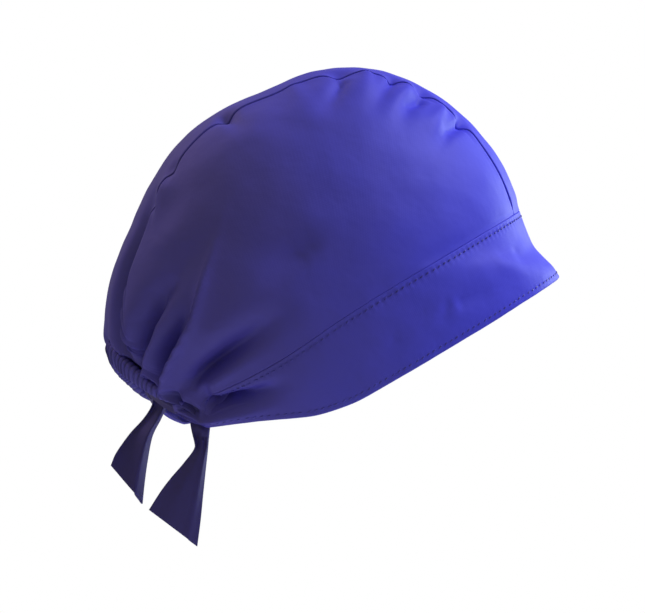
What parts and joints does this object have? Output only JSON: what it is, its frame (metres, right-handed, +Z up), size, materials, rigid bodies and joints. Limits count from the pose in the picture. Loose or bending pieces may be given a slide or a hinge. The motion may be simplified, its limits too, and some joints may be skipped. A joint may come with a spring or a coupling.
{
  "type": "scrub cap",
  "caption": "Cloth scrub cap in its worn shape: deep front band, panelled crown, gathered elastic channel at the nape and hanging tie ends.",
  "frame": {"origin": "the middle of the head opening, in the plane of the hem, where a head holds the cap", "axes": "+X to the wearer's forehead, +Y to the wearer's left, +Z up; the hem's plane is tipped so that the forehead is higher than the nape"},
  "size_m": [0.238, 0.1659, 0.2445],
  "materials": {
    "crown_cloth": "smooth blue-violet poplin with a soft sheen",
    "band_cloth": "the same poplin, folded double",
    "tie_cloth": "the same poplin, in deep shade at the nape"
  },
  "bodies": {
    "root": {"front_band": "band_cloth", "side_panel_right": "crown_cloth", "side_panel_left": "crown_cloth", "centre_panel": "crown_cloth", "elastic_casing": "crown_cloth", "tie_right": "tie_cloth", "tie_left": "tie_cloth", "tie_knot": "tie_cloth", "tail_right": "tie_cloth", "tail_left": "tie_cloth"}
  },
  "joints": []
}
